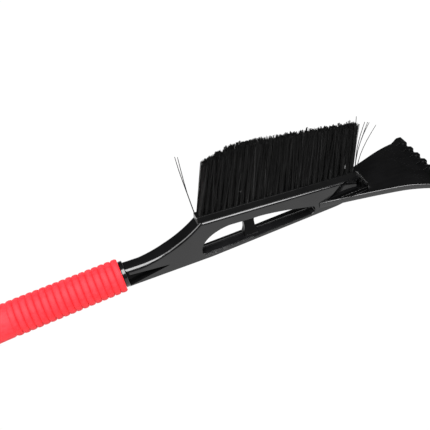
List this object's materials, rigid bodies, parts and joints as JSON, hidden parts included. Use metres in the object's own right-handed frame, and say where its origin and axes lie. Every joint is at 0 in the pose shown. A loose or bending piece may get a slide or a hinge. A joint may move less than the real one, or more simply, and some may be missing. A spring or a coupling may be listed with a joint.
{
  "type": "windshield ice scraper",
  "caption": "Long-handled windshield ice scraper with a ribbed foam grip, a tilted snow brush over a two-cell window frame, and a flared scraper blade with ice ribs.",
  "frame": {"origin": "middle of the tool's length and width, at the height of the surface it lies on", "axes": "+X from the butt of the handle to the scraping edge, +Y to the tool's left, +Z to the bristle side"},
  "size_m": [0.5626, 0.101, 0.1173],
  "materials": {
    "frame_plastic": "glossy black moulded plastic with fine lengthwise flow marks",
    "head_plastic": "satin to gloss black moulded plastic, lightly scuffed",
    "grip_foam": "soft matte red foam with fine open pores",
    "cap_plastic": "fine matte black plastic",
    "bristles": "black synthetic bristle with crimped filaments",
    "anchor_wire": "drawn flat wire"
  },
  "bodies": {
    "root": {"frame": "frame_plastic", "scraper_head": "head_plastic", "foam_grip": "grip_foam", "end_cap": "cap_plastic", "tufts_left_row": "bristles", "tufts_middle_row": "bristles", "tufts_right_row": "bristles", "anchors_left_row": "anchor_wire", "anchors_middle_row": "anchor_wire", "anchors_right_row": "anchor_wire"}
  },
  "joints": []
}
